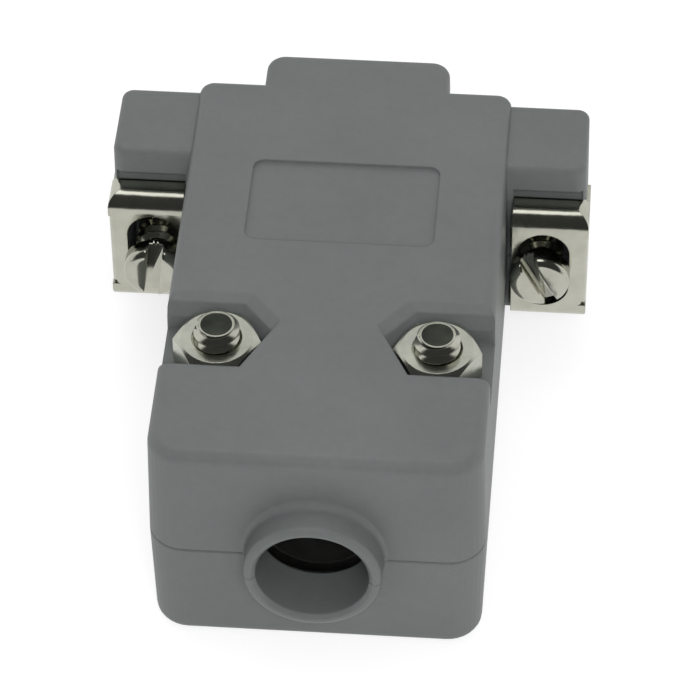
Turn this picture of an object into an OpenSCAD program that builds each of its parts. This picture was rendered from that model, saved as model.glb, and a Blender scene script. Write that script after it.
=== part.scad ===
// Plastic hood for a 9-way D-subminiature connector: two screwed half shells, folded sheet-metal
// brackets behind the ears, captive jackscrews and a sheet-metal cable clamp.
// Millimetres, +Z up, +Y towards the mating end, bottom face on z = 0.

/* [Body] */
// overall height of the closed hood, bottom face to top face
hood_height = 15.8; // [15.4:0.1:16.6]
// width of the body across the parting seam
body_width = 20.6; // [20.4:0.1:20.9]
// length of the body, cable face to front face
body_length = 33.95; // [33.2:0.05:35.5]
// moulding draft of every outer wall, measured at the top and bottom edges
wall_draft = 0.16; // [0.05:0.01:0.25]
// height of the parting seam above the bottom face
seam_height = 7.6; // [7.3:0.1:8.2]
// plan radius of the two corners at the cable end
rear_corner_radius = 2.3; // [1.6:0.1:2.6]
// plan radius of the two corners at the mating end
front_corner_radius = 1.1; // [0.8:0.1:1.6]
// soft edge round the top and bottom faces
edge_radius = 0.55; // [0.3:0.05:0.7]
// softer edge of the cable end
rear_edge_radius = 0.8; // [0.5:0.05:1.0]
// chamfer on the outer edge of each half where they meet at the seam
seam_chamfer = 0.1; // [0.05:0.01:0.15]
// thickness of the side and end walls
wall_thickness = 1.4; // [1.2:0.05:1.5]
// thickness of the top and bottom walls
face_thickness = 1.5; // [1.3:0.05:1.7]

/* [Tongues over the connector flange] */
// width of the tongue that covers the edge of the connector flange
tongue_width = 12.3; // [10.0:0.1:14.0]
// reach of the tongue beyond the body
tongue_reach = 2.9; // [2.4:0.1:3.4]
// plan radius of the tongue corners
tongue_corner_radius = 1.35; // [0.8:0.05:1.8]
// clear height between the two tongues
tongue_gap = 12.7; // [12.4:0.05:12.8]

/* [Ears] */
// reach of each ear beyond the side of the body
ear_reach = 5.02; // [4.6:0.02:5.4]
// length of the ears along the hood
ear_length = 6.15; // [5.5:0.05:6.5]
// distance the ears sit behind the front face of the body
ear_setback = 0.7; // [0.2:0.05:0.8]
// step from the top face of the body down to the top of the ear
ear_step = 0.56; // [0.3:0.02:0.8]
// height of the underside of the ears above the bottom face
ear_underside = 2.7; // [2.3:0.05:2.8]
// plan radius of the outer ear corners
ear_corner_radius = 0.85; // [0.6:0.05:1.2]

// depth of the recess in the rear wall of the ear, above the bracket
recess_depth = 0.45; // [0.2:0.05:0.6]
// height of that recess
recess_height = 0.95; // [0.6:0.05:1.2]
// depth of the pocket behind the hole of the bracket
ear_pocket_depth = 3.4; // [2.8:0.05:3.6]
// space between that pocket and the edge of the hole in the bracket
ear_pocket_play = 0.15; // [0.1:0.05:0.2]

/* [Connector mouth] */
// thickness of the thinned side walls of the mouth that takes the metal shell of the connector
mouth_wall = 0.45; // [0.4:0.05:0.6]
// clear height of the mouth
mouth_height = 11.3; // [11.0:0.1:11.6]

/* [Label recess] */
// width of the shallow label recess in the top face
label_width = 11.9; // [9.0:0.1:14.0]
// length of the label recess
label_length = 7.35; // [5.0:0.05:8.5]
// distance from the cable face to the rear edge of the label recess
label_start = 18.97; // [17.5:0.01:20.5]
// depth of the label recess
label_depth = 0.22; // [0.1:0.02:0.4]

/* [Cable collar] */
// bore for the cable
cable_bore = 6.9; // [5.0:0.1:7.2]
// outer diameter of the collar at its rim
collar_diameter = 8.44; // [8.2:0.02:8.8]
// length of the collar behind the cable face
collar_length = 2.24; // [1.6:0.02:3.0]
// fillet where the collar meets the end wall
collar_root = 0.5; // [0.2:0.05:0.7]

/* [Closing screws and nuts] */
// distance from the side of the body to the closing screws
closing_inset = 3.54; // [3.3:0.02:3.7]
// distance from the cable face to the closing screws
closing_setback = 10.29; // [10.0:0.01:10.8]
// outside diameter of the closing screw thread
closing_thread = 2.84; // [2.5:0.02:3.0]
// height of the screw tip above the top face
closing_tip = 0.93; // [0.2:0.01:1.2]
// width across the flats of the nut
nut_flats = 4.76; // [4.5:0.02:5.0]
// thickness of the nut
nut_thickness = 2.2; // [1.8:0.05:2.3]
// depth of the nut pocket in the top face
pocket_depth = 2.4; // [2.2:0.05:2.6]
// space between the nut and the cable-side wall of its pocket
pocket_rear_play = 0.25; // [0.1:0.05:0.4]
// space between the nut and the connector-side wall of its pocket
pocket_front_play = 0.35; // [0.2:0.01:0.5]
// space between the nut and the pointed inner end of its pocket
pocket_inner_play = 0.42; // [0.3:0.01:0.6]
// width of the soft rim round the connector side of the pocket
pocket_rim = 1.15; // [0.6:0.05:1.3]
// diameter of the closing screw head
closing_head = 4.6; // [4.2:0.05:4.8]
// thickness of the closing screw head
closing_head_height = 1.5; // [1.2:0.05:1.7]

/* [Brackets] */
// sheet thickness of the folded bracket
sheet = 0.5; // [0.4:0.02:0.55]
// flat height of the rear plate between the bends
plate_height = 6.65; // [6.4:0.05:6.8]
// space between the bracket and the side of the body
bracket_clear = 0.17; // [0.1:0.01:0.3]
// distance the outer arm of the bracket stands proud of the ear
arm_proud = 0.2; // [0.1:0.02:0.3]
// air gap between the rear plate and the ear
bracket_gap = 1.05; // [0.9:0.05:1.2]
// outer radius of the bends of the two lips
bend_radius = 1.15; // [0.9:0.05:1.3]
// outer radius of the bends of the arm and the inner tabs
arm_bend = 0.6; // [0.58:0.01:0.7]
// reach of the outer arm along the ear
arm_reach = 3.2; // [2.4:0.1:3.6]
// plan radius of the outer corners of the lips
lip_corner = 0.8; // [0.4:0.05:1.0]
// width of the slotted hole in the rear plate
plate_hole = 3.35; // [3.3:0.01:3.4]
// distance the slotted hole is set outwards from the axis of the jackscrew
plate_hole_offset = 0.17; // [0.1:0.01:0.18]
// overall height of the slotted hole
plate_hole_height = 6.2; // [5.0:0.1:6.3]

/* [Jackscrews] */
// distance from the side of the body to the axis of the jackscrew
jack_offset = 2.195; // [2.1:0.005:2.4]
// outside diameter of the jackscrew thread
jack_thread = 2.84; // [2.7:0.01:2.9]
// diameter of the jackscrew head
jack_head = 3.85; // [3.6:0.05:4.1]
// thickness of the jackscrew head
jack_head_height = 1.35; // [1.2:0.05:1.8]
// rounding of the rim of the head
jack_head_round = 0.45; // [0.2:0.05:0.6]
// length of the jackscrew under its head
jack_length = 12.6; // [12.0:0.1:14.0]
// diameter of the plain neck under the head
jack_neck = 2.2; // [1.8:0.05:2.4]
// length of the plain neck
jack_neck_length = 0.9; // [0.6:0.05:1.1]
// distance from the head to the end of the rear thread
jack_rear_thread = 4.2; // [3.8:0.05:4.6]
// distance from the head to the start of the connector thread
jack_waist_end = 8.85; // [8.75:0.05:9.2]
// diameter of the waist that the two half shells close around
jack_waist = 2.3; // [2.1:0.02:2.4]
// depth of the widened mouth of the jackscrew bore in the front of the ear
jack_mouth_depth = 0.6; // [0.4:0.05:0.8]
// space between the thread and that widened mouth
jack_mouth_play = 0.2; // [0.15:0.01:0.3]
// width of the screwdriver slot
slot_width = 0.95; // [0.6:0.05:1.1]
// depth of the screwdriver slot
slot_depth = 0.85; // [0.5:0.05:0.9]
// distance the left jackscrew is drawn back from its bracket
left_drawn_back = 0.9; // [0.05:0.05:1.1]
// distance the right jackscrew is drawn back from its bracket
right_drawn_back = 0.05; // [0.05:0.05:1.1]
// turn of the left slot from upright
left_slot_turn = 6; // [-90:1:90]
// turn of the right slot from upright
right_slot_turn = -27; // [-90:1:90]

/* [Cable clamp] */
// width of the clamp straps along the cable
clamp_width = 3.6; // [3.0:0.1:4.0]
// sheet thickness of the clamp straps
clamp_sheet = 0.8; // [0.6:0.05:0.9]
// half the space between the flat ends of the straps
clamp_half_gap = 1.0; // [0.6:0.05:1.3]
// distance from the side wall of the wiring space to the clamp screws
clamp_inset = 2.24; // [2.0:0.02:2.4]
// outside diameter of the clamp screw thread
clamp_thread = 2.0; // [1.8:0.02:2.2]
// diameter of the clamp screw head
clamp_head = 3.4; // [3.2:0.05:3.6]

/* [Ribs] */
// distance from the cable face to the first stiffening rib
rib_start = 16.6; // [15.6:0.1:17.5]
// distance from one rib to the next
rib_pitch = 4.0; // [2.5:0.1:4.5]
// thickness of a rib
rib_thickness = 0.9; // [0.6:0.05:1.1]
// height of a rib above the wall that carries it
rib_height = 1.1; // [0.6:0.05:1.5]

/* [Fit] */
// play between parts that only rest in each other
fit_play = 0.05; // [0.03:0.01:0.08]
// radial play of a turning screw in its bore
running_play = 0.06; // [0.05:0.01:0.1]

/* [Hidden] */
$fn = 64;
eps = 0.01;

mid_z = hood_height / 2;
half_w = body_width / 2;
cavity_half = half_w - wall_draft - wall_thickness;
mouth_width = body_width - mouth_wall * 2;
ear_half = half_w + ear_reach;
ear_front = body_length - ear_setback;
ear_rear = ear_front - ear_length;
cavity_top = hood_height - face_thickness;
tongue_thick = (hood_height - tongue_gap) / 2;
tongue_front = body_length + tongue_reach;

closing_x = half_w - closing_inset;
nut_corner = nut_flats / 2 / cos(30);
pocket_rear = closing_setback - nut_flats / 2 - pocket_rear_play;
pocket_front = closing_setback + nut_flats / 2 + pocket_front_play;
pocket_inner = closing_x - nut_corner - pocket_inner_play;
pocket_floor = hood_height - pocket_depth;
boss_radius = closing_thread / 2 + 1.25;
tray_floor = pocket_floor - 1.3;
tray_inner = pocket_inner - pocket_rim * 0.7 - 0.7;
counterbore = closing_head + 0.4;
counterbore_depth = closing_head_height + 0.5;

plate_rear = ear_rear - bracket_gap - sheet;
plate_front = plate_rear + sheet;
bracket_outer = ear_half + arm_proud;
bracket_inner = half_w + bracket_clear;
bracket_width = bracket_outer - bracket_inner;
lip_top = mid_z + plate_height / 2 + bend_radius;
lip_bottom = mid_z - plate_height / 2 - bend_radius;
lip_front = ear_rear + recess_depth + 0.3;
lip_inner = bracket_inner + 0.14;
lip_width = bracket_outer - lip_inner;
arm_front = ear_rear + arm_reach;
arm_half = plate_height / 2;
tab_clear = jack_thread / 2 + 0.3;

jack_x = half_w + jack_offset;
jack_bore = jack_waist / 2 + running_play;
ear_pocket_half = plate_hole / 2 + ear_pocket_play;
ear_pocket_height = plate_hole_height + ear_pocket_play * 4;
jack_tip_y = plate_rear - right_drawn_back + jack_length;

clamp_y = wall_thickness + 0.7 + clamp_width / 2;
clamp_x = cavity_half - clamp_inset;
clamp_seat = mid_z - clamp_half_gap - clamp_sheet;
clamp_arc = cable_bore / 2 - 0.15;
clamp_end = clamp_x + 1.9;
seat_inner = clamp_x - 1.8;

// the sizes below run from the cable face; every piece is set back by y_centre to centre the part
y_centre = (jack_tip_y - collar_length) / 2;
pin_x = cavity_half - 1.55;
pin_y = ear_rear - 2.6;

// Drafted, edge-rounded corner post: seam with its chamfer at the bottom, soft edge on top.
module post(radius, height, soft, draft) {
  top_r = radius - draft;
  rotate_extrude($fn = 32)
    polygon(concat(
      [[0, 0], [radius - seam_chamfer, 0], [radius, seam_chamfer]],
      [for (i = [0 : 5])
        [top_r - soft + soft * cos(i * 18), height - soft + soft * sin(i * 18)]],
      [[0, height]]));
}

// Drafted block standing on the seam: plan rectangle with its own radius at each end.
module block(x0, x1, y0, y1, r_rear, r_front, height, soft_rear, soft, draft) {
  hull() {
    translate([x0 + r_rear, y0 + r_rear, 0]) post(r_rear, height, soft_rear, draft);
    translate([x1 - r_rear, y0 + r_rear, 0]) post(r_rear, height, soft_rear, draft);
    translate([x0 + r_front, y1 - r_front, 0]) post(r_front, height, soft, draft);
    translate([x1 - r_front, y1 - r_front, 0]) post(r_front, height, soft, draft);
  }
}

// Outer form of one half: seam on z = 0, face at the given height, ears lower than it by ear_drop,
// hood axis at its own height.
module half_form(height, ear_drop, axis) {
  block(-half_w, half_w, -wall_draft, body_length, rear_corner_radius, front_corner_radius,
        height, rear_edge_radius, edge_radius, wall_draft);
  block(-ear_half, ear_half, ear_rear, ear_front + wall_draft, ear_corner_radius, ear_corner_radius,
        height - ear_drop, edge_radius * 0.8, edge_radius * 0.8, wall_draft * 0.6);
  difference() {
    block(-tongue_width / 2, tongue_width / 2, body_length - tongue_reach - tongue_corner_radius, tongue_front,
          tongue_corner_radius, tongue_corner_radius, height, edge_radius, edge_radius, wall_draft);
    translate([-tongue_width, body_length - 0.4, -1])
      cube([tongue_width * 2, tongue_reach + 2, height + 1 - tongue_thick]);
  }
  // cable collar, one half of a ring with a rounded root and rim
  intersection() {
    translate([0, 0, axis]) rotate([90, 0, 0]) collar_ring();
    translate([-collar_diameter, -collar_length - 1, 0])
      cube([collar_diameter * 2, collar_length + wall_thickness + 2, collar_diameter]);
  }
}

// Collar ring about its own axis, root at z = 0, rim at z = collar_length.
module collar_ring() {
  rim = collar_diameter / 2;
  inner = cable_bore / 2 - 0.4;
  f = collar_root;
  root = wall_draft * 0.3;
  rotate_extrude()
    polygon(concat(
      [[inner, -wall_thickness], [rim + f, -wall_thickness]],
      [for (i = [0 : 5]) [rim + f - f * sin(i * 18), root + f - f * cos(i * 18)]],
      [[rim, collar_length - 0.35], [rim - 0.1, collar_length - 0.12],
       [rim - 0.32, collar_length], [inner, collar_length]]));
}

// Everything both halves have hollowed out, in hood coordinates.
module common_hollow() {
  // wiring space
  translate([-cavity_half, wall_thickness, face_thickness])
    cube([cavity_half * 2, ear_rear - wall_thickness + 0.3, cavity_top - face_thickness]);
  // connector mouth
  translate([-mouth_width / 2, ear_rear - 0.01, mid_z - mouth_height / 2])
    cube([mouth_width, body_length - ear_rear + 1, mouth_height]);
  // flange seat between the tongues, and the flat front faces of the ears
  translate([-ear_half - 1, ear_front, mid_z - tongue_gap / 2])
    cube([ear_half * 2 + 2, tongue_reach + 2, tongue_gap]);
  for (side = [-1, 1])
    translate([side * (half_w + ear_reach) - ear_reach, ear_front, -1])
      cube([ear_reach * 2, 2, hood_height + 2]);
  // cable bore with a flared rim
  translate([0, wall_thickness + 1, mid_z]) rotate([90, 0, 0])
    cylinder(r = cable_bore / 2, h = wall_thickness + collar_length + 2);
  translate([0, -collar_length + 0.25, mid_z]) rotate([90, 0, 0])
    cylinder(r1 = cable_bore / 2, r2 = cable_bore / 2 + 0.3, h = 0.3);
  // jackscrew bores, pockets behind the brackets, bracket slots and the seats of the outer arms
  for (side = [-1, 1]) {
    translate([side * jack_x, ear_front + 1, mid_z]) rotate([90, 0, 0])
      cylinder(r = jack_bore, h = ear_length + 2);
    translate([side * (jack_x + plate_hole_offset) - ear_pocket_half, ear_rear - 1,
               mid_z - ear_pocket_height / 2])
      cube([ear_pocket_half * 2, ear_pocket_depth + 1, ear_pocket_height]);
    translate([side * jack_x, ear_front + 1, mid_z]) rotate([90, 0, 0])
      cylinder(r = jack_thread / 2 + jack_mouth_play, h = jack_mouth_depth + 1);
    for (lip = [lip_top - sheet - fit_play, lip_bottom - fit_play])
      translate([side > 0 ? lip_inner - fit_play : -bracket_outer - 1, ear_rear - 1, lip])
        cube([lip_width + fit_play + 1, lip_front - ear_rear + 1 + fit_play,
              sheet + fit_play * 2]);
    // shallow recess in the rear wall of the ear, above the upper lip
    translate([side > 0 ? half_w + 0.3 : -ear_half + 0.3, ear_rear - 1, lip_top + eps])
      cube([ear_reach - 0.6, recess_depth + 1, recess_height]);
    translate([side > 0 ? bracket_outer - sheet - fit_play : -bracket_outer - 1,
               ear_rear - 1, mid_z - arm_half - fit_play])
      cube([sheet + fit_play + 1, arm_reach + 1 + fit_play, arm_half * 2 + fit_play * 2]);
  }
}

// Plan of one nut pocket, right side, without its slanted cable-side wall. The connector side and
// the slanted wall next to it move out by the given amount.
module pocket_sides(grow = 0) {
  slant = 0.82;
  wall_x = pocket_inner + 1.95 - grow * 0.65;
  polygon([[half_w + 2, pocket_rear], [half_w + 2, pocket_front + grow],
           [wall_x, pocket_front + grow],
           [wall_x - slant * (pocket_front + grow - pocket_rear), pocket_rear]]);
}

// Everything on the screw's side of the slanted cable-side wall of a pocket.
module pocket_wedge() {
  slant = 0.515;
  point_y = closing_setback + 0.35;
  far = pocket_front + pocket_rim * 2;
  polygon([[pocket_inner + slant * (point_y - pocket_rear), pocket_rear], [half_w + 3, pocket_rear],
           [half_w + 3, far], [pocket_inner + slant * (point_y - far), far]]);
}

// Plan of one nut pocket: pointed inner end, open towards the side wall.
module pocket_plan() {
  intersection() {
    pocket_sides();
    pocket_wedge();
  }
}

// Soft rim of a nut pocket, in two slopes: steep below, shallow above.
module pocket_rim_cut() {
  k = pocket_rim;
  intersection() {
    union() {
      for (step = [[1.1, 0, 0.28, 0.35], [0.28, 0.35, -0.05, 1.05]])
        hull() {
          translate([0, 0, hood_height - k * step[0]])
            linear_extrude(eps) pocket_sides(k * step[1]);
          translate([0, 0, hood_height - k * step[2]])
            linear_extrude(eps) pocket_sides(k * step[3]);
        }
    }
    translate([0, 0, pocket_floor]) linear_extrude(pocket_depth + 1) pocket_wedge();
  }
}

module upper_shell() {
  color([0.44, 0.45, 0.45])
  translate([0, -y_centre, 0])
  difference() {
    union() {
      difference() {
        translate([0, 0, seam_height])
          half_form(hood_height - seam_height, ear_step, mid_z - seam_height);
        common_hollow();
      }
      // floor under the nut pockets and the screw bosses, kept inside the outer form
      for (side = [-1, 1]) {
        translate([side * closing_x, closing_setback, seam_height])
          cylinder(r = boss_radius, h = cavity_top - seam_height + eps);
        translate([side > 0 ? tray_inner : -cavity_half - 0.4, pocket_rear - 1.2, tray_floor])
          cube([cavity_half + 0.4 - tray_inner, pocket_front - pocket_rear + pocket_rim + 1.6,
                cavity_top - tray_floor + eps]);
        translate([side * pin_x, pin_y, seam_height])
          cylinder(r = 1.5, h = cavity_top - seam_height + eps);
      }
      // stiffening ribs under the top wall
      for (i = [0, 1])
        translate([-cavity_half - 0.1, rib_start + i * rib_pitch, cavity_top - rib_height])
          cube([cavity_half * 2 + 0.2, rib_thickness, rib_height + 0.1]);
    }
    // nut pockets, screw bores and pin sockets
    for (side = [0, 1]) mirror([side, 0, 0]) {
      translate([0, 0, pocket_floor]) linear_extrude(pocket_depth + 1) pocket_plan();
      pocket_rim_cut();
      translate([closing_x, closing_setback, seam_height - 1])
        cylinder(r = closing_thread / 2 + 0.12, h = hood_height);
      translate([pin_x, pin_y, seam_height - 1])
        cylinder(r = 0.8 + fit_play, h = 2.4);
    }
    // label recess with softened corners
    translate([0, label_start, hood_height - label_depth])
      linear_extrude(label_depth + 1) label_plan();
  }
}

// Plan of the label recess.
module label_plan() {
  r = 0.7;
  w = label_width / 2;
  square_y = label_length;
  translate([-w + r, 0]) square([label_width - 2 * r, square_y]);
  translate([-w, r]) square([label_width, square_y - 2 * r]);
  for (x = [-w + r, w - r]) for (y = [r, square_y - r]) translate([x, y]) circle(r = r, $fn = 32);
}

module lower_shell() {
  color([0.44, 0.45, 0.45])
  translate([0, -y_centre, 0])
  difference() {
    union() {
      difference() {
        translate([0, 0, seam_height]) mirror([0, 0, 1])
          half_form(seam_height, ear_underside, seam_height - mid_z);
        common_hollow();
      }
      for (side = [-1, 1]) {
        translate([side * closing_x, closing_setback, face_thickness - eps])
          cylinder(r = boss_radius, h = seam_height - face_thickness + eps);
        translate([side * closing_x, closing_setback, face_thickness - eps])
          cylinder(r = counterbore / 2 + 0.6, h = counterbore_depth + 1.2 - face_thickness);
        // locating pins on their posts
        translate([side * pin_x, pin_y, face_thickness - eps])
          cylinder(r = 1.5, h = seam_height - face_thickness + eps);
        translate([side * pin_x, pin_y, seam_height - eps])
          cylinder(r = 0.8, h = 1.2);
        // seats for the cable clamp
        translate([side > 0 ? seat_inner : -cavity_half - 0.2, clamp_y - clamp_width / 2,
                   face_thickness - eps])
          cube([cavity_half + 0.2 - seat_inner, clamp_width, clamp_seat - face_thickness + eps]);
      }
      for (i = [0, 1])
        translate([-cavity_half - 0.1, rib_start + i * rib_pitch, face_thickness - 0.1])
          cube([cavity_half * 2 + 0.2, rib_thickness, rib_height + 0.1]);
    }
    for (side = [-1, 1]) {
      translate([side * closing_x, closing_setback, -1])
        cylinder(r = closing_thread / 2 + 0.12, h = hood_height);
      translate([side * closing_x, closing_setback, -1])
        cylinder(r = counterbore / 2, h = counterbore_depth + 1);
      translate([side * clamp_x, clamp_y, face_thickness])
        cylinder(r = clamp_thread / 2 + 0.15, h = clamp_seat);
    }
  }
}

// Closing screw, put in from below: slotted pan head, shank up through the hood, bare tip.
module closing_screw() {
  seat = counterbore_depth;
  tip = hood_height + closing_tip;
  r = closing_thread / 2;
  color([0.72, 0.71, 0.67])
  difference() {
    union() {
      translate([0, 0, seat - closing_head_height])
        rotate_extrude()
          polygon([[0, 0], [closing_head / 2 - 0.4, 0], [closing_head / 2 - 0.12, 0.15],
                   [closing_head / 2, 0.45], [closing_head / 2, closing_head_height],
                   [0, closing_head_height]]);
      translate([0, 0, seat - eps]) cylinder(r = r, h = tip - 0.3 - seat + eps);
      translate([0, 0, tip - 0.3 - eps]) cylinder(r1 = r, r2 = r - 0.28, h = 0.3 + eps);
    }
    translate([-closing_head, -0.35, seat - closing_head_height - 1])
      cube([closing_head * 2, 0.7, 1.7]);
  }
}

module closing_screw_left() {
  translate([-closing_x, closing_setback - y_centre, 0]) closing_screw();
}

module closing_screw_right() {
  translate([closing_x, closing_setback - y_centre, 0]) rotate([0, 0, 35]) closing_screw();
}

// Hexagon nut, flats parallel to the rear wall of its pocket, chamfered top corners.
module closing_nut() {
  color([0.72, 0.71, 0.67])
  difference() {
    intersection() {
      cylinder(r = nut_flats / 2 / cos(30), h = nut_thickness, $fn = 6);
      union() {
        cylinder(r = nut_flats, h = nut_thickness - 0.3);
        translate([0, 0, nut_thickness - 0.3 - eps])
          cylinder(r1 = nut_flats / 2 + 0.34, r2 = nut_flats / 2 - 0.16, h = 0.3 + eps);
      }
    }
    translate([0, 0, -1]) cylinder(r = closing_thread / 2 + 0.02, h = nut_thickness + 2);
    translate([0, 0, nut_thickness - 0.15])
      cylinder(r1 = closing_thread / 2, r2 = closing_thread / 2 + 0.2, h = 0.2);
  }
}

module closing_nut_left() {
  translate([-closing_x, closing_setback - y_centre, pocket_floor]) closing_nut();
}

module closing_nut_right() {
  translate([closing_x, closing_setback - y_centre, pocket_floor]) closing_nut();
}

// Section of a right-angle bend of outer radius r: legs of the given lengths along +x and +y from
// the outer corner.
module angle_section(leg_x, leg_y, r) {
  difference() {
    union() {
      translate([r, 0]) square([leg_x - r, sheet]);
      translate([0, r]) square([sheet, leg_y - r]);
      intersection() {
        translate([r, r]) circle(r = r);
        square([r + eps, r + eps]);
      }
    }
    translate([r, r]) circle(r = r - sheet);
  }
}

// Folded bracket, right side: rear plate with a slotted hole, lips above and below, a long outer
// arm and two short inner tabs. The rear plate starts at y = plate_rear.
module bracket() {
  lip_reach = lip_front - plate_rear;
  color([0.74, 0.73, 0.69])
  difference() {
    union() {
      // flat of the plate
      translate([lip_inner, plate_rear, mid_z - arm_half])
        cube([bracket_outer - arm_bend + eps - lip_inner, sheet, arm_half * 2]);
      // upper and lower lips
      for (up = [0, 1]) translate([0, 0, mid_z]) mirror([0, 0, up]) translate([0, 0, -mid_z])
        intersection() {
          translate([lip_inner, plate_rear, lip_bottom])
            rotate([90, 0, 90]) linear_extrude(lip_width)
              angle_section(lip_reach, lip_top - mid_z - arm_half + 0.3, bend_radius);
          lip_outline();
        }
      // outer arm
      translate([bracket_outer, plate_rear, mid_z - arm_half]) rotate([0, 0, 90])
        linear_extrude(arm_half * 2)
          angle_section(arm_front - plate_rear, bracket_width / 2 + eps, arm_bend);
      // two short inner tabs, above and below the jackscrew
      for (z = [mid_z + tab_clear, mid_z - arm_half])
        translate([bracket_inner, plate_rear, z]) mirror([1, 0, 0]) rotate([0, 0, 90])
          linear_extrude(arm_half - tab_clear)
            angle_section(ear_rear - plate_rear - fit_play, bracket_width / 2 + eps, arm_bend);
    }
    // slotted hole for the jackscrew
    translate([jack_x + plate_hole_offset, plate_rear - 1, mid_z]) rotate([-90, 0, 0])
      linear_extrude(sheet + 1.5) hole_plan();
  }
}

// Outline of a lip seen along the screw, cut round at its outer corner, with the plate below it.
module lip_outline() {
  depth = lip_front - plate_rear + 1;
  translate([0, plate_rear - 0.5, 0]) rotate([90, 0, 0]) mirror([0, 0, 1])
    linear_extrude(depth) {
      translate([0, lip_bottom]) square([bracket_outer - lip_corner, lip_top - lip_bottom]);
      translate([0, lip_bottom + lip_corner]) square([bracket_outer, lip_top - lip_bottom]);
      translate([bracket_outer - lip_corner, lip_bottom + lip_corner]) circle(r = lip_corner);
    }
}

// Upright slotted hole.
module hole_plan() {
  straight = plate_hole_height - plate_hole;
  square([plate_hole, straight], center = true);
  for (s = [-1, 1]) translate([0, s * straight / 2]) circle(r = plate_hole / 2);
}

module bracket_left() {
  translate([0, -y_centre, 0]) mirror([1, 0, 0]) bracket();
}

module bracket_right() {
  translate([0, -y_centre, 0]) bracket();
}

// Jackscrew about its own axis: head above z = 0, then neck, rear thread, waist and front thread.
module jackscrew(turn) {
  r = jack_thread / 2;
  waist = jack_waist / 2;
  head_r = jack_head / 2;
  k = jack_head_round;
  h = jack_head_height;
  color([0.74, 0.73, 0.69])
  difference() {
    rotate_extrude()
      polygon(concat(
        [[0, -jack_length], [r - 0.45, -jack_length], [r, -jack_length + 0.45],
         [r, -jack_waist_end], [waist, -jack_waist_end], [waist, -jack_rear_thread],
         [r, -jack_rear_thread], [r, -jack_neck_length - 0.3],
         [jack_neck / 2, -jack_neck_length], [jack_neck / 2, 0], [head_r, 0]],
        [for (i = [0 : 6]) [head_r - k + k * cos(i * 15), h - k + k * sin(i * 15)]],
        [[0, h]]));
    rotate([0, 0, turn]) translate([-slot_width / 2, -jack_head, h - slot_depth])
      cube([slot_width, jack_head * 2, slot_depth + 1]);
  }
}

module jackscrew_left() {
  translate([-jack_x, plate_rear - left_drawn_back - y_centre, mid_z]) rotate([90, 0, 0])
    jackscrew(-left_slot_turn);
}

module jackscrew_right() {
  translate([jack_x, plate_rear - right_drawn_back - y_centre, mid_z]) rotate([90, 0, 0])
    jackscrew(-right_slot_turn);
}

// Section of the lower clamp strap: half round saddle with two flat ends, cable axis at the origin.
module strap_section() {
  difference() {
    union() {
      circle(r = clamp_arc + clamp_sheet);
      translate([-clamp_end, -clamp_half_gap - clamp_sheet]) square([clamp_end * 2, clamp_sheet]);
    }
    circle(r = clamp_arc);
    translate([-clamp_end - 1, -clamp_half_gap]) square([clamp_end * 2 + 2, clamp_end]);
  }
}

// Strap laid across the hood, with one hole of the given radius in each flat end.
module strap(hole) {
  color([0.72, 0.71, 0.67])
  difference() {
    translate([0, clamp_y + clamp_width / 2, 0]) rotate([90, 0, 0])
      linear_extrude(clamp_width) strap_section();
    for (side = [-1, 1]) translate([side * clamp_x, clamp_y, -clamp_end])
      cylinder(r = hole, h = clamp_end * 2);
  }
}

module clamp_lower() {
  translate([0, -y_centre, mid_z]) strap(clamp_thread / 2 + 0.02);
}

module clamp_upper() {
  translate([0, -y_centre, mid_z]) mirror([0, 0, 1]) strap(clamp_thread / 2 + 0.12);
}

// Clamp screw: slotted cheese head on the upper strap, shank through both straps.
module clamp_screw() {
  seat = mid_z + clamp_half_gap + clamp_sheet;
  color([0.72, 0.71, 0.67])
  difference() {
    union() {
      translate([0, 0, seat]) cylinder(r = clamp_head / 2, h = 1.0);
      translate([0, 0, seat + 1.0 - eps])
        cylinder(r1 = clamp_head / 2, r2 = clamp_head / 2 - 0.2, h = 0.2 + eps);
      translate([0, 0, clamp_seat - 1.6]) cylinder(r = clamp_thread / 2, h = seat - clamp_seat + 1.7);
    }
    translate([-clamp_head, -0.3, seat + 0.6]) cube([clamp_head * 2, 0.6, 1]);
  }
}

module clamp_screw_left() {
  translate([-clamp_x, clamp_y - y_centre, 0]) rotate([0, 0, 20]) clamp_screw();
}

module clamp_screw_right() {
  translate([clamp_x, clamp_y - y_centre, 0]) rotate([0, 0, -50]) clamp_screw();
}

lower_shell();
upper_shell();
closing_screw_left();
closing_screw_right();
closing_nut_left();
closing_nut_right();
bracket_left();
bracket_right();
jackscrew_left();
jackscrew_right();
clamp_lower();
clamp_upper();
clamp_screw_left();
clamp_screw_right();
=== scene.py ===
import math

import bmesh
import bpy
from mathutils import Matrix, Vector


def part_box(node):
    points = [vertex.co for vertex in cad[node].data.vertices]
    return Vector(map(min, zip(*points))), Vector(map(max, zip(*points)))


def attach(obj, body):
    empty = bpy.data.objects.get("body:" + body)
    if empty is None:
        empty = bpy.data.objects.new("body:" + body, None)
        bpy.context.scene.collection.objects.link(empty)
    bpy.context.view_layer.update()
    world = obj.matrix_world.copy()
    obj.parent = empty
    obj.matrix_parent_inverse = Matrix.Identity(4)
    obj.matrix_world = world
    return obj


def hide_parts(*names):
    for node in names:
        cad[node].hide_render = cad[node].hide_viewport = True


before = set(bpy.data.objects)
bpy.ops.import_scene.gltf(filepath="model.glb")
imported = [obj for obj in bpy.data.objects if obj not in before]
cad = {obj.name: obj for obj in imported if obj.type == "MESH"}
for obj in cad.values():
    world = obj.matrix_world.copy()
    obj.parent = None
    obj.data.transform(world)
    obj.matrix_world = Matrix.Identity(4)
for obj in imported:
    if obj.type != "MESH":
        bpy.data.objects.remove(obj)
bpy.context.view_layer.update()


# ---------------------------------------------------------------------------
# Half shells
# Two injection-moulded ABS halves in cool mid grey. The mould was spark eroded,
# so the skin is a fine even satin with a soft sheen along every rounded edge.
# ---------------------------------------------------------------------------
MM = 0.001


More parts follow.
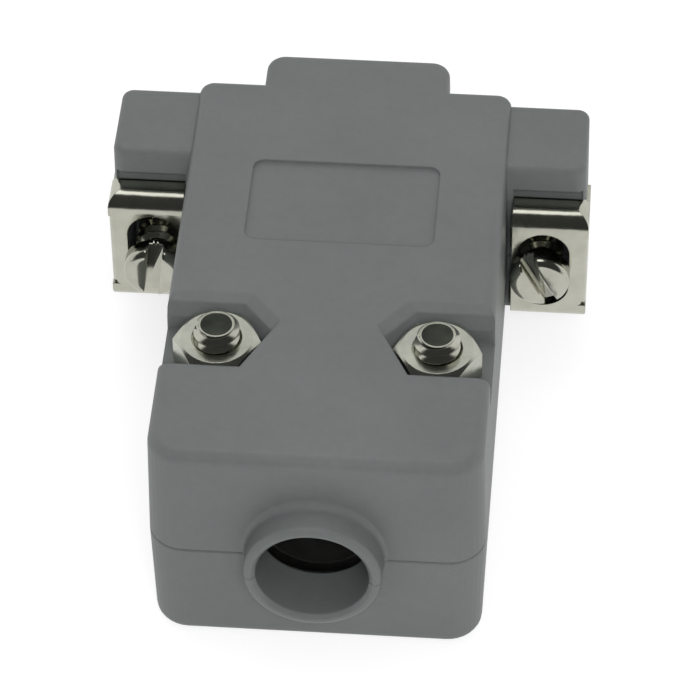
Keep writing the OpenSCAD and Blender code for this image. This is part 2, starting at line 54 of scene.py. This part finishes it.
def linear(hex_colour):
    # sRGB hex to linear RGBA
    def channel(v):
        v /= 255.0
        return v / 12.92 if v <= 0.04045 else ((v + 0.055) / 1.055) ** 2.4
    h = hex_colour.lstrip("#")
    return tuple(channel(int(h[i:i + 2], 16)) for i in (0, 2, 4)) + (1.0,)


def add(tree, kind, settings=None, links=None):
    # one shader node: settings are attributes or input values, links are {input: (node, output)}
    n = tree.nodes.new(kind)
    for key, value in (settings or {}).items():
        if isinstance(key, str) and hasattr(n, key):
            setattr(n, key, value)
        else:
            n.inputs[key].default_value = value
    for key, (source, output) in (links or {}).items():
        tree.links.new(source.outputs[output], n.inputs[key])
    return n


def moulded_abs():
    # Satin ABS: spark-eroded grain of about 0.12 mm, drawn at 0.16 mm so that it shows,
    # broad faint flow marks, and fine specks that vary the tone and the roughness.
    mat = bpy.data.materials.new("abs_moulded_satin_grey")
    mat.use_nodes = True
    t = mat.node_tree
    t.nodes.clear()
    out = add(t, "ShaderNodeOutputMaterial")
    where = add(t, "ShaderNodeTexCoord")
    grain = add(t, "ShaderNodeTexNoise", {"Scale": 1 / (0.16 * MM), "Detail": 3.0, "Roughness": 0.6},
                {"Vector": (where, "Object")})
    flow = add(t, "ShaderNodeTexNoise", {"Scale": 1 / (9 * MM), "Detail": 2.0, "Roughness": 0.5},
               {"Vector": (where, "Object")})
    speck = add(t, "ShaderNodeTexNoise", {"Scale": 1 / (0.7 * MM), "Detail": 4.0, "Roughness": 0.7},
                {"Vector": (where, "Object")})
    tint = add(t, "ShaderNodeValToRGB", {}, {"Fac": (flow, "Fac")})
    tint.color_ramp.elements[0].position = 0.3
    tint.color_ramp.elements[0].color = linear("#696d6c")
    tint.color_ramp.elements[1].position = 0.7
    tint.color_ramp.elements[1].color = linear("#6f7372")
    speckle = add(t, "ShaderNodeValToRGB", {}, {"Fac": (speck, "Fac")})
    speckle.color_ramp.elements[0].position = 0.32
    speckle.color_ramp.elements[0].color = (0.93, 0.93, 0.93, 1)
    speckle.color_ramp.elements[1].position = 0.6
    speckle.color_ramp.elements[1].color = (1, 1, 1, 1)
    # inputs 6 and 7 of a mix node are its two colours
    colour = add(t, "ShaderNodeMix", {"data_type": "RGBA", "blend_type": "MULTIPLY", "Factor": 1.0},
                 {6: (tint, "Color"), 7: (speckle, "Color")})
    rough = add(t, "ShaderNodeMapRange", {"To Min": 0.36, "To Max": 0.5}, {"Value": (speck, "Fac")})
    soft = add(t, "ShaderNodeBevel", {"samples": 8, "Radius": 0.2 * MM})
    bump = add(t, "ShaderNodeBump", {"Strength": 0.16, "Distance": 0.02 * MM},
               {"Height": (grain, "Fac"), "Normal": (soft, "Normal")})
    skin = add(t, "ShaderNodeBsdfPrincipled", {"IOR": 1.53, "Specular IOR Level": 0.5},
               {"Base Color": (colour, 2), "Roughness": (rough, "Result"), "Normal": (bump, "Normal")})
    t.links.new(skin.outputs["BSDF"], out.inputs["Surface"])
    return mat


def dress(node_name, mat):
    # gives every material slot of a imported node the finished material
    mesh = cad[node_name].data
    if not mesh.materials:
        mesh.materials.append(mat)
    for i in range(len(mesh.materials)):
        mesh.materials[i] = mat


abs_grey = moulded_abs()
for shell in ("upper_shell", "lower_shell"):
    dress(shell, abs_grey)


# ---------------------------------------------------------------------------
# Brackets, nuts and clamp
# Steel with a bright nickel or zinc plate: the nuts are cold formed, the brackets
# and the clamp are folded sheet. Grey metal, sharp reflections, fine handling marks.
# ---------------------------------------------------------------------------
def plated_steel(name, colour, roughness, mark_mm, wave, edge_mm):
    # colour: darkest and lightest tint; roughness: range; mark_mm: grain size; wave: bump of the
    # broad unevenness left by pressing or tumbling; edge_mm: radius of the worn edges
    mat = bpy.data.materials.new(name)
    mat.use_nodes = True
    t = mat.node_tree
    t.nodes.clear()
    out = add(t, "ShaderNodeOutputMaterial")
    where = add(t, "ShaderNodeTexCoord")
    marks = add(t, "ShaderNodeTexNoise", {"Scale": 1 / (mark_mm * MM), "Detail": 6.0, "Roughness": 0.65},
                {"Vector": (where, "Object")})
    cloud = add(t, "ShaderNodeTexNoise", {"Scale": 1 / (1.6 * MM), "Detail": 3.0, "Roughness": 0.5},
                {"Vector": (where, "Object")})
    tint = add(t, "ShaderNodeValToRGB", {}, {"Fac": (cloud, "Fac")})
    tint.color_ramp.elements[0].position = 0.3
    tint.color_ramp.elements[0].color = linear(colour[0])
    tint.color_ramp.elements[1].position = 0.72
    tint.color_ramp.elements[1].color = linear(colour[1])
    rough = add(t, "ShaderNodeMapRange", {"To Min": roughness[0], "To Max": roughness[1]},
                {"Value": (marks, "Fac")})
    soft = add(t, "ShaderNodeBevel", {"samples": 6, "Radius": edge_mm * MM})
    uneven = add(t, "ShaderNodeBump", {"Strength": wave, "Distance": 0.05 * MM},
                 {"Height": (cloud, "Fac"), "Normal": (soft, "Normal")})
    bump = add(t, "ShaderNodeBump", {"Strength": 0.12, "Distance": 0.01 * MM},
               {"Height": (marks, "Fac"), "Normal": (uneven, "Normal")})
    metal = add(t, "ShaderNodeBsdfPrincipled", {"Metallic": 1.0},
                {"Base Color": (tint, "Color"), "Roughness": (rough, "Result"), "Normal": (bump, "Normal")})
    t.links.new(metal.outputs["BSDF"], out.inputs["Surface"])
    return mat


nickel_sheet = plated_steel("steel_nickel_plated_sheet", ("#bcbcae", "#cbcbbe"), (0.14, 0.24), 0.4, 0.6, 0.07)
nickel_turned = plated_steel("steel_nickel_plated_turned", ("#b9b9ac", "#cbcbbe"), (0.12, 0.22), 0.25, 0.3, 0.02)
nickel_forged = plated_steel("steel_nickel_plated_forged", ("#b5b7ab", "#c9cabd"), (0.16, 0.28), 0.3, 0.5, 0.05)
zinc_sheet = plated_steel("steel_zinc_plated_sheet", ("#a9aaa6", "#bfc0bb"), (0.28, 0.42), 0.4, 0.4, 0.06)
for n in ("bracket_left", "bracket_right"):
    dress(n, nickel_sheet)
for n in ("closing_nut_left", "closing_nut_right"):
    dress(n, nickel_forged)
for n in ("closing_screw_left", "closing_screw_right", "jackscrew_left", "jackscrew_right"):
    dress(n, nickel_turned)
for n in ("clamp_lower", "clamp_upper", "clamp_screw_left", "clamp_screw_right"):
    dress(n, zinc_sheet)


# ---------------------------------------------------------------------------
# Screws with cut threads
# Cold-formed steel screws, nickel plated, 40 threads to the inch. The heads are
# the modelled ones; the plain stand-in shanks give way to necks, waists and threads.
# ---------------------------------------------------------------------------
def head_of(node_name, point, direction):
    # the part of a packed screw that lies behind a plane, as a bmesh in the row frame
    bm = bmesh.new()
    bm.from_mesh(cad[node_name].data)
    bmesh.ops.bisect_plane(bm, geom=list(bm.verts) + list(bm.edges) + list(bm.faces), plane_co=point,
                           plane_no=direction, clear_outer=True, dist=1e-9)
    return bm


def turn_profile(bm, frame_matrix, profile, steps=64):
    # lathe-turned surface: profile is a list of (radius, height) along the axis of frame_matrix
    rings = []
    for radius, height in profile:
        rings.append([bm.verts.new(frame_matrix @ Vector((radius * math.cos(2 * math.pi * k / steps),
                                                          radius * math.sin(2 * math.pi * k / steps),
                                                          height))) for k in range(steps)])
    for a, b in zip(rings, rings[1:]):
        for k in range(steps):
            bm.faces.new((a[k], a[(k + 1) % steps], b[(k + 1) % steps], b[k]))
    return rings


def cut_thread(bm, frame_matrix, start, end, crest, start_slope, end_slope, steps=48):
    # rolled 60 degree thread, 40 to the inch, from start to end along the axis; the crests fade in
    # over start_slope and out over end_slope, the height of the chamfer at each end
    pitch = 25.4 / 40 * MM
    thread_depth = 0.34 * MM
    root = crest - thread_depth
    # one turn's section: share of the pitch along the axis, radius
    shape = ((0.0, root), (0.06, root - 0.01 * MM), (0.12, root), (0.41, crest - 0.01 * MM),
             (0.45, crest), (0.55, crest), (0.59, crest - 0.01 * MM), (0.88, root))
    count = len(shape)
    turns = math.ceil((end - start) / pitch) + 2
    rows = []
    for k in range(turns * steps + 1):
        angle = 2 * math.pi * k / steps
        row = []
        for u, radius in shape:
            z = start + pitch * (k / steps - 1.5 + u)
            z = min(max(z, start), end)
            limit = crest - end_slope + (end - z)
            if start_slope:
                limit = min(limit, root - 0.02 * MM + (z - start) * (crest - root) / start_slope)
            r = min(radius, max(limit, crest - max(end_slope, 0.36 * MM)))
            row.append(bm.verts.new(frame_matrix @ Vector((r * math.cos(angle), r * math.sin(angle), z))))
        rows.append(row)
    for k in range(len(rows) - 1):
        for j in range(count):
            if j + 1 < count:
                quad = (rows[k][j], rows[k + 1][j], rows[k + 1][j + 1], rows[k][j + 1])
            elif k + steps + 1 < len(rows):
                quad = (rows[k][j], rows[k + 1][j], rows[k + steps + 1][0], rows[k + steps][0])
            else:
                continue
            if len({tuple(round(c, 8) for c in v.co) for v in quad}) > 2:
                bm.faces.new(quad)


def finish_piece(bm, name, body, replaced, mat):
    # welds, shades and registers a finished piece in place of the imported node
    bmesh.ops.remove_doubles(bm, verts=bm.verts, dist=1e-7)
    bmesh.ops.recalc_face_normals(bm, faces=bm.faces)
    mesh = bpy.data.meshes.new(name)
    bm.to_mesh(mesh)
    bm.free()
    mesh.materials.append(mat)
    mesh.polygons.foreach_set("use_smooth", [True] * len(mesh.polygons))
    mesh.set_sharp_from_angle(angle=math.radians(28))
    obj = bpy.data.objects.new(name, mesh)
    bpy.context.scene.collection.objects.link(obj)
    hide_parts(replaced)
    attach(obj, body)
    return obj


# the jackscrew, measured from the underside of its head
thread_crest = 1.42 * MM
jack_head_height = 1.35 * MM
jack_neck = 1.1 * MM
jack_neck_end = 0.9 * MM
jack_rear_thread_end = 4.2 * MM
jack_waist = 1.15 * MM
jack_waist_end = 8.85 * MM
for side in ("left", "right"):
    node = "jackscrew_" + side
    low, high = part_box(node)
    axis_x, axis_z = (low.x + high.x) / 2, (low.z + high.z) / 2
    under_head = low.y + jack_head_height
    # local z runs from the underside of the head to the tip
    place = Matrix.Translation((axis_x, under_head, axis_z)) @ Matrix.Rotation(math.radians(-90), 4, "X")
    tip = high.y - under_head
    bm = head_of(node, Vector((axis_x, under_head + 0.5 * MM, axis_z)), Vector((0, 1, 0)))
    turn_profile(bm, place, [(jack_neck, 0.49 * MM), (jack_neck, jack_neck_end),
                             (jack_neck - 0.04 * MM, jack_neck_end + 0.05 * MM)])
    cut_thread(bm, place, jack_neck_end, jack_rear_thread_end, thread_crest, 0.3 * MM, 0.2 * MM)
    turn_profile(bm, place, [(jack_waist + 0.15 * MM, jack_rear_thread_end - 0.01 * MM),
                             (jack_waist, jack_rear_thread_end + 0.1 * MM),
                             (jack_waist, jack_waist_end - 0.1 * MM),
                             (jack_waist - 0.05 * MM, jack_waist_end + 0.05 * MM)])
    cut_thread(bm, place, jack_waist_end, tip, thread_crest, 0.3 * MM, 0.45 * MM)
    rings = turn_profile(bm, place, [(0.99 * MM, tip - 0.03 * MM), (0.9 * MM, tip - 0.001 * MM),
                                     (0.3 * MM, tip)])
    bm.faces.new(rings[-1])
    finish_piece(bm, node + "_threaded", node + "_body", node, nickel_turned)

# the closing screw: its thread starts inside the nut, and its sheared end is a shallow dish with
# a torn middle, coloured near-black steel as a painted dark reflection
# painted dark reflection: the near-black tints make the screw ends darker than the steel's own grey
painted_dark_steel = plated_steel("steel_end_painted_dark_reflection", ("#3a3d38", "#55594f"), (0.4, 0.6), 0.15, 0.8, 0.02)
for side in ("left", "right"):
    node = "closing_screw_" + side
    nut_low, nut_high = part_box("closing_nut_" + side)
    cut_z = nut_low.z + 0.4 * MM
    place = Matrix.Translation(((nut_low.x + nut_high.x) / 2, (nut_low.y + nut_high.y) / 2, cut_z))
    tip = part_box(node)[1].z - cut_z
    bm = head_of(node, Vector((0, 0, cut_z)), Vector((0, 0, 1)))
    cut_thread(bm, place, 0.0, tip, thread_crest, 0, 0.3 * MM)
    turn_profile(bm, place, [(1.12 * MM, tip - 0.03 * MM), (1.05 * MM, tip - 0.001 * MM),
                             (0.97 * MM, tip - 0.02 * MM)])
    finish_piece(bm, node + "_threaded", "hood", node, nickel_turned)
    bm = bmesh.new()
    rings = turn_profile(bm, place, [(0.98 * MM, tip - 0.015 * MM), (0.8 * MM, tip - 0.03 * MM),
                                     (0.45 * MM, tip - 0.035 * MM), (0.2 * MM, tip - 0.02 * MM)])
    bm.faces.new(rings[-1])
    mesh = bpy.data.meshes.new(node + "_end")
    bm.to_mesh(mesh)
    bm.free()
    mesh.materials.append(painted_dark_steel)
    mesh.polygons.foreach_set("use_smooth", [True] * len(mesh.polygons))
    end = bpy.data.objects.new(node + "_end", mesh)
    bpy.context.scene.collection.objects.link(end)
    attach(end, "hood")


# ---------------------------------------------------------------------------
# Table
# A sheet of matt white card. It takes the hood's soft shadow; in the metal it shows a painted
# reflection, white close by and fading to dark a hand's width in front of the hood.
# ---------------------------------------------------------------------------
table_mesh = bpy.data.meshes.new("table")
half = 1.5
table_mesh.from_pydata([(-half, -half, 0), (half, -half, 0), (half, half, 0), (-half, half, 0)], [], [(0, 1, 2, 3)])
table = bpy.data.objects.new("table", table_mesh)
table.location.z = -0.02 * MM
bpy.context.scene.collection.objects.link(table)
table_white = bpy.data.materials.new("card_matt_white")
table_white.use_nodes = True
t = table_white.node_tree
t.nodes.clear()
path = add(t, "ShaderNodeLightPath")
lit = add(t, "ShaderNodeBsdfDiffuse", {"Color": (0.8, 0.8, 0.8, 1)})
# seen by the camera: most of the white is the card's own, the rest carries the shadow
pale = add(t, "ShaderNodeBsdfDiffuse", {"Color": (0.42, 0.42, 0.42, 1)})
own = add(t, "ShaderNodeEmission", {"Color": (1, 1, 1, 1), "Strength": 0.72})
seen = add(t, "ShaderNodeAddShader", {}, {0: (pale, "BSDF"), 1: (own, "Emission")})
# seen in the metal: a painted reflection, white near the hood and fading to dark in front, though the card runs on
where = add(t, "ShaderNodeTexCoord")
parts = add(t, "ShaderNodeSeparateXYZ", {}, {"Vector": (where, "Object")})
painted_reflection_fade = add(t, "ShaderNodeMapRange",
            {"From Min": -75 * MM, "From Max": -48 * MM, "To Min": 0.05, "To Max": 0.84}, {"Value": (parts, "Y")})
mirrored = add(t, "ShaderNodeEmission", {"Color": (1, 1, 1, 1)}, {"Strength": (painted_reflection_fade, "Result")})
indirect = add(t, "ShaderNodeMixShader", {},
               {0: (path, "Is Glossy Ray"), 1: (lit, "BSDF"), 2: (mirrored, "Emission")})
either = add(t, "ShaderNodeMixShader", {},
             {0: (path, "Is Camera Ray"), 1: (indirect, "Shader"), 2: (seen, "Shader")})
add(t, "ShaderNodeOutputMaterial", {}, {"Surface": (either, "Shader")})
table_mesh.materials.append(table_white)


# ---------------------------------------------------------------------------
# Light
# An even white surround with one lamp in front and a softer one overhead. The
# metal sees pale walls low down all round and a dark ceiling over the camera.
# ---------------------------------------------------------------------------
def lamp(name, where, aim, size, power):
    data = bpy.data.lights.new(name, "AREA")
    data.shape = "DISK"
    data.size = size
    data.energy = power
    obj = bpy.data.objects.new(name, data)
    obj.location = where
    obj.rotation_euler = (Vector(aim) - Vector(where)).to_track_quat("-Z", "Y").to_euler()
    bpy.context.scene.collection.objects.link(obj)
    return obj


centre = (0, 0, 8 * MM)
front = lamp("lamp_front", (0.08, -0.42, 0.42), centre, 0.2, 1.3)
front.visible_glossy = False
lamp("lamp_overhead", (-0.03, 0.1, 0.5), centre, 0.3, 0.32)

world = bpy.data.worlds.new("studio")
bpy.context.scene.world = world
world.use_nodes = True
wt = world.node_tree
wt.nodes.clear()
w_dir = add(wt, "ShaderNodeTexCoord")
# the dark ceiling lies around this direction, above the camera
w_over = add(wt, "ShaderNodeVectorMath", {"operation": "DOT_PRODUCT", 1: Vector((0.04, -0.573, 0.818))},
             {0: (w_dir, "Generated")})
w_level = add(wt, "ShaderNodeMapRange", {"From Min": 0.22, "From Max": 0.40, "To Min": 0.85, "To Max": 0.04},
              {"Value": (w_over, "Value")})
w_room = add(wt, "ShaderNodeBackground", {"Color": (1, 1, 1, 1)}, {"Strength": (w_level, "Result")})
w_fill = add(wt, "ShaderNodeBackground", {"Color": (1, 1, 1, 1), "Strength": 0.56})
w_seen = add(wt, "ShaderNodeBackground", {"Color": (1, 1, 1, 1), "Strength": 1.0})
w_path = add(wt, "ShaderNodeLightPath")
w_mirror = add(wt, "ShaderNodeMixShader", {}, {0: (w_path, "Is Glossy Ray"), 1: (w_fill, "Background"),
                                               2: (w_room, "Background")})
w_mix = add(wt, "ShaderNodeMixShader", {}, {0: (w_path, "Is Camera Ray"), 1: (w_mirror, "Shader"),
                                            2: (w_seen, "Background")})
add(wt, "ShaderNodeOutputWorld", {}, {"Surface": (w_mix, "Shader")})


# ---------------------------------------------------------------------------
# Camera
# Looks down on the cable end at 45 degrees, a little from the right.
# ---------------------------------------------------------------------------
cam_data = bpy.data.cameras.new("camera")
cam_data.lens = 216.34
cam_data.clip_start = 0.01
cam = bpy.data.objects.new("camera", cam_data)
cam.location = (0.01733, -0.18894, 0.19688)
cam.rotation_euler = (math.radians(45.023), math.radians(0.540), math.radians(4.479))
bpy.context.scene.collection.objects.link(cam)
bpy.context.scene.camera = cam
bpy.context.scene.view_settings.view_transform = "Standard"
